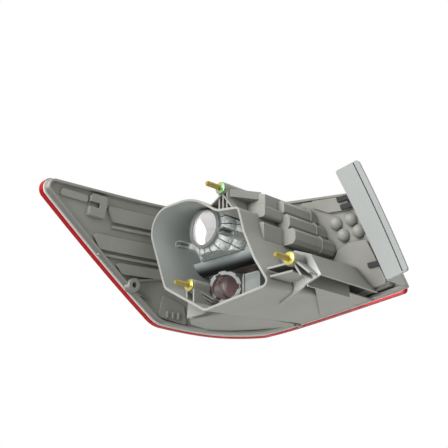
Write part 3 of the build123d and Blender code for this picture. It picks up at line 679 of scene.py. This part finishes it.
# %% Zinc finish
plating_bands = (
    (0.30, (0.60, 0.42, 0.08)),
    (0.45, (0.82, 0.64, 0.16)),
    (0.58, (0.56, 0.62, 0.22)),
    (0.72, (0.75, 0.48, 0.24)),
)
flange_green = (0.16, 0.55, 0.36, 1.0)
shank_shade_brown = (0.22, 0.13, 0.03, 1.0)

zinc, shader, wire = new_finish("zinc")
film = noise(wire, 5 * mm, 3.0)
scuff = noise(wire, 0.8 * mm, 3.0)
tint = film.make("ShaderNodeValToRGB", {"stops": plating_bands}, {"Fac": film})
top_stud = place_along(wire, upward).ramp(60 * mm, 70 * mm)
head = place_along(wire, rearward).ramp(-2 * mm, 0.0)
green = top_stud * head * film.ramp(0.35, 0.5)
plating = (0.75 * green).mix(tint, flange_green)
set_shader(
    shader,
    {
        # The shanks get painted shade, darker and browner than the flange.
        "Base Color": (0.55 * (1.0 - head)).mix(plating, shank_shade_brown),
        "Metallic": 1.0,
        "Roughness": 0.22 + 0.2 * scuff,
        "Normal": bump(wire, scuff, 0.02 * mm),
    },
)
dress(zinc, "stud_lower", "stud_inboard", "stud_upper")

# %% [markdown]
# CAD has the studs as plain pins, so each is replaced by a mesh with a real helical thread. A thread
# could be swept as a coil and joined to a rod. It is simpler to turn the whole stud as one grid of
# rows: each row is a ring, and the ring's radius follows the thread's phase, which moves on by one
# pitch in each turn.

# %% Rows of a stud
thread_pitch = 1.0 * mm
thread_depth = 0.5 * mm
thread_slope = 2.6
thread_root = 0.25
thread_end = 2 * thread_pitch
neck_length = 1.8 * thread_pitch
tip_share = 0.86
rows_per_pitch = 8
flange_thickness = 2.5 * mm
flange_edge = 0.5 * mm
stud_fillet = 0.4 * mm
round_share = 0.3


def thread_height(y, turn):
    """Height of the thread from root, 0, to crest, 1."""
    phase = (y / thread_pitch + turn) % 1.0
    return min(1.0, max(0.0, abs(phase - 0.5) * thread_slope - thread_root))


def stud_rows(low, high, mount):
    """Rows of a stud, each with its y and a function that gives its radius at a turn from 0 to 1."""
    crest = mount["dims"]["r_mm"] * mm
    root = crest - thread_depth
    seat = mount["pos_m"][1]
    flange = (high.x - low.x) / 2
    flange_back = seat + flange_thickness
    first = low.y + thread_depth
    count = round((seat - thread_end - first) / thread_pitch * rows_per_pitch)
    yield low.y, lambda turn: root * tip_share
    for row in range(count + 1):
        y = first + row * thread_pitch / rows_per_pitch
        grown = min(1.0, row / rows_per_pitch, (count - row) / rows_per_pitch)
        rise = (crest - root) * grown
        yield y, lambda turn, y=y, rise=rise: root + rise * thread_height(y, turn)
    plain_rows = (
        (seat - neck_length, crest),
        (seat - stud_fillet, crest),
        (seat - stud_fillet * round_share, crest + stud_fillet * round_share),
        (seat, crest + stud_fillet),
        (seat, flange - flange_edge),
        (seat + flange_edge * round_share, flange - flange_edge * round_share),
        (seat + flange_edge, flange),
        (flange_back - flange_edge, flange),
        (flange_back, flange - flange_edge),
        (flange_back, root),
        (high.y, root),
    )
    for y, radius in plain_rows:
        yield y, lambda turn, radius=radius: radius


print("thread pitch in mm:", thread_pitch / mm)

# %% Threaded studs
stud_segments = 32
sharp_angle = radians(40.0)


def piece_from(shape, name):
    """Turns a bmesh into an object of the scene, with all its faces looking out."""
    bmesh.ops.recalc_face_normals(shape, faces=shape.faces)
    mesh = bpy.data.meshes.new(name)
    shape.to_mesh(mesh)
    shape.free()
    piece = bpy.data.objects.new(name, mesh)
    bpy.context.collection.objects.link(piece)
    return piece


def turn_piece(name, centre, rows):
    """A closed mesh from rings along Y round a centre line."""
    shape = bmesh.new()
    rings = []
    for y, radius_at in rows:
        ring = []
        for k in range(stud_segments):
            turn = k / stud_segments
            radius = radius_at(turn)
            x = centre.x + radius * cos(tau * turn)
            z = centre.z + radius * sin(tau * turn)
            ring.append(shape.verts.new((x, y, z)))
        rings.append(ring)
    for ring, after in zip(rings, rings[1:]):
        for k in range(stud_segments):
            follow = (k + 1) % stud_segments
            shape.faces.new((ring[k], after[k], after[follow], ring[follow]))
    shape.faces.new(rings[0])
    shape.faces.new(rings[-1][::-1])
    piece = piece_from(shape, name)
    piece.data.shade_smooth()
    piece.data.set_sharp_from_angle(angle=sharp_angle)
    return piece


for mount in frame["record"]["mounts"]:
    if mount["kind"] == "pin":
        low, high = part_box(mount["name"])
        rows = stud_rows(low, high, mount)
        stud = turn_piece(mount["name"] + "_threaded", (low + high) / 2, rows)
        stud.data.materials.append(zinc)
        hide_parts(mount["name"])
        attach(stud, "root")
        print(stud.name, len(stud.data.vertices), "points")

# %% [markdown]
# ## Ribs, webs and walls
# Thin ribs, webs and walls stiffen the moulding. On the real lamp they are part of it. Each could be
# a scaled cube, but most are not boxes, so each is a flat outline in millimetres, run along one
# direction, with a small bevel on its edges. The first is the gusset where the bay meets the wing.

# %% Gusset beside the bay
rib_width = 1.6
rib_bevel = 0.3 * mm


def moulding(name, corners, run, material=housing_grey):
    """A flat outline of corners in millimetres, run along a vector into a solid with bevelled edges."""
    shape = bmesh.new()
    front = [shape.verts.new(Vector(corner) * mm) for corner in corners]
    back = [shape.verts.new((Vector(corner) + Vector(run)) * mm) for corner in corners]
    shape.faces.new(front)
    shape.faces.new(back[::-1])
    for k in range(len(front)):
        follow = (k + 1) % len(front)
        shape.faces.new((front[follow], front[k], back[k], back[follow]))
    piece = piece_from(shape, name)
    piece.data.materials.append(material)
    bevel = piece.modifiers.new("soft edges", "BEVEL")
    bevel.width = rib_bevel
    bevel.segments = 2
    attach(piece, "root")
    print(name, "made")


gusset_front = 40
gusset_thickness = 2.2
gusset_outline = ((-43, 7), (-46, -24), (-22, -23.5), (-12, -20.5), (-5, -16))
gusset_corners = [(x, gusset_front, z) for x, z in gusset_outline]
moulding("bay_gusset", gusset_corners, (0, gusset_thickness, 0))

# %% [markdown]
# Two ribs spread from the foot of the upper post to the bay's rim, and three run beside the lower
# post. Each rib is a thin strip along a line between two points, so a loop can lay them.

# %% Ribs under the upper post
post_foot = Vector((49.0, 96.0))
rim_points = ((31.5, 86.5), (66.0, 74.5))
rib_front = 3
rib_depth = 11
for number, rim_point in enumerate(rim_points, 1):
    end = Vector(rim_point)
    along = (end - post_foot).normalized() * rib_width / 2
    side = Vector((-along.y, along.x))
    strip = (post_foot + side, end + side, end - side, post_foot - side)
    moulding(f"upper_rib_{number}", [(x, rib_front, z) for x, z in strip], (0, rib_depth, 0))

# %% Ribs beside the lower post
lower_start = Vector((0.5, 3.0, -7.0))
lower_end = Vector((8.5, 26.0, -18.5))
lower_step = Vector((0.57, 0.19, 0.80))
lower_shifts = (0.0, 3.2, 6.4)
lower_depth = 6
for number, shift in enumerate(lower_shifts, 1):
    first = lower_start + lower_step * shift
    last = lower_end + lower_step * shift
    strip = (first, last, last - lower_step * rib_width, first - lower_step * rib_width)
    moulding(f"lower_rib_{number}", strip, (0, lower_depth, 0))

# %% [markdown]
# A flat web closes the corner under the bay, between the gusset and the lip. It falls a little
# towards the inboard side. Two short rounded ribs cross the lip.

# %% Web under the bay
web_height = -24.4
web_fall = 0.03
web_outline = (
    (-51, 49),
    (-73, 72),
    (-84, 112),
    (-72, 128),
    (-58, 139.5),
    (-43, 149),
    (-10, 153),
    (18, 156),
    (25.5, 150),
    (14.7, 50),
)
web_corners = [(x, y, web_height - web_fall * x) for x, y in web_outline]
moulding("bay_web", web_corners, (0, 0, rib_width))

# %% Ribs across the lip
lip_rib_places = ((19.5, 157, -23), (130, 151, -10.6))
lip_rib_outline = ((-3, 0), (-2, -2), (-1, -2.8), (1, -2.8), (2, -2), (3, 0))
lip_rib_length = 11
for number, (x, y, z) in enumerate(lip_rib_places, 1):
    lip_corners = [(x + across, y, z + down) for across, down in lip_rib_outline]
    moulding(f"lip_rib_{number}", lip_corners, (0, lip_rib_length, 0))

# %% [markdown]
# Under the inboard bracket a slanted wall and a floor plate frame a second hollow. The wall carries
# on the line of the bracket's front and gets the same painted light, and the plate lies between the
# bracket's rib and the lip.

# %% Wall and floor under the bracket
wall_start = Vector((140.0, 31.5, -21.0))
wall_end = Vector((77.3, 63.8, -27.2))
wall_rise = Vector((0.0, 0.0, 5.0))
wall_thickness = (0.7, 1.4, 0)
wall_corners = (wall_start, wall_end, wall_end + wall_rise, wall_start + wall_rise)
moulding("bracket_wall", wall_corners, wall_thickness, bracket_grey)

floor_plate_corners = (
    (143.7, 43, -22.2),
    (143.7, 97, -16.85),
    (133, 153.5, -12.7),
    (64, 151, -21.5),
)
moulding("bracket_floor", floor_plate_corners, (0, 0, rib_width), bracket_grey)

# %% [markdown]
# The loop clip on the wing has a blade beside it and a rail above it, and a ridge runs up the box
# beside the lower socket. Boolean joins could merge them with the solids, but those meshes stay as
# CAD gives them, so these small pieces only touch or enter them.

# %% Clip blade, clip rail and box ridge
blade_corners = ((-102, 2, 10), (-95, 4, 9.5), (-100, 31, 6), (-102, 31, 6))
moulding("clip_blade", blade_corners, (0, 0, -rib_width))

rail_corners = ((-101, -8, 20), (-93, -4, 21.5), (-95, 38, 31), (-99, 38, 31))
moulding("clip_rail", rail_corners, (0, 0, rib_width))

ridge_front = 40.4
ridge_depth = 2
ridge_outline = ((44.7, -13), (46.3, -13), (46.3, 12), (44.7, 12))
ridge_corners = [(x, ridge_front, z) for x, z in ridge_outline]
moulding("box_ridge", ridge_corners, (0, ridge_depth, 0), lower_grey)

# %% [markdown]
# ## Floor and light
# A plain pale floor lies well below the lamp, because the camera looks up from under it. A curved
# backdrop would serve as well, but from this angle only the white world shows behind the lamp.

# %% Floor
floor_drop = 0.45
floor_half = 6.0
floor_height = cad_low.z - floor_drop
floor_corners = ((-1, -1), (1, -1), (1, 1), (-1, 1))
floor_mesh = bpy.data.meshes.new("floor")
floor_mesh.from_pydata(
    [(x * floor_half, y * floor_half, floor_height) for x, y in floor_corners],
    [],
    [(0, 1, 2, 3)],
)
floor = bpy.data.objects.new("floor", floor_mesh)
bpy.context.collection.objects.link(floor)
floor_pale, shader, wire = new_finish("floor_pale")
set_shader(
    shader,
    {
        "Base Color": (0.42, 0.42, 0.41, 1.0),
        "Roughness": 0.75 + 0.1 * noise(wire, 300 * mm, 3.0),
    },
)
floor_mesh.materials.append(floor_pale)
print("floor at z:", round(floor_height, 3))

# %% [markdown]
# Soft white light comes from all round, less from the inboard side, so faces that look inboard stay
# darker, as in the photograph. Two large area lights add to it: one from the front, above the lamp,
# and one behind the lens, which lights the bulb opening through the window.

# %% World
sky_white = (1.0, 1.0, 1.0, 1.0)
sky_dim = (0.52, 0.52, 0.52, 1.0)
scene = bpy.context.scene
scene.view_settings.view_transform = "Standard"
world = bpy.data.worlds.new("studio")
world.use_nodes = True
scene.world = world
sky = Wire(world.node_tree)
across = sky.make("ShaderNodeSeparateXYZ", None, {"Vector": sky.make("ShaderNodeTexCoord")})
sky_colour = across.ramp(-0.1, 0.8).mix(sky_white, sky_dim)
set_shader(world.node_tree.nodes["Background"], {"Color": sky_colour})
print("the world dims inboard to", sky_dim[0])


# %% Lights
def soft_box(name, place, aim, size, power):
    """A square area light at a place, facing a point."""
    data = bpy.data.lights.new(name, "AREA")
    data.size = size
    data.energy = power
    light = bpy.data.objects.new(name, data)
    light.location = place
    light.rotation_euler = (Vector(aim) - Vector(place)).to_track_quat("-Z", "Y").to_euler()
    bpy.context.collection.objects.link(light)
    print(name, "at", place)


soft_box("key_light", (0.1, -1.65, 0.5), (0.0, 0.0, 0.05), 1.0, 26.0)
soft_box("back_light", (-0.3, 1.5, 0.35), (0.0, 0.1, 0.08), 0.9, 28.0)

# %% [markdown]
# The visual model has to stay inside the CAD box.
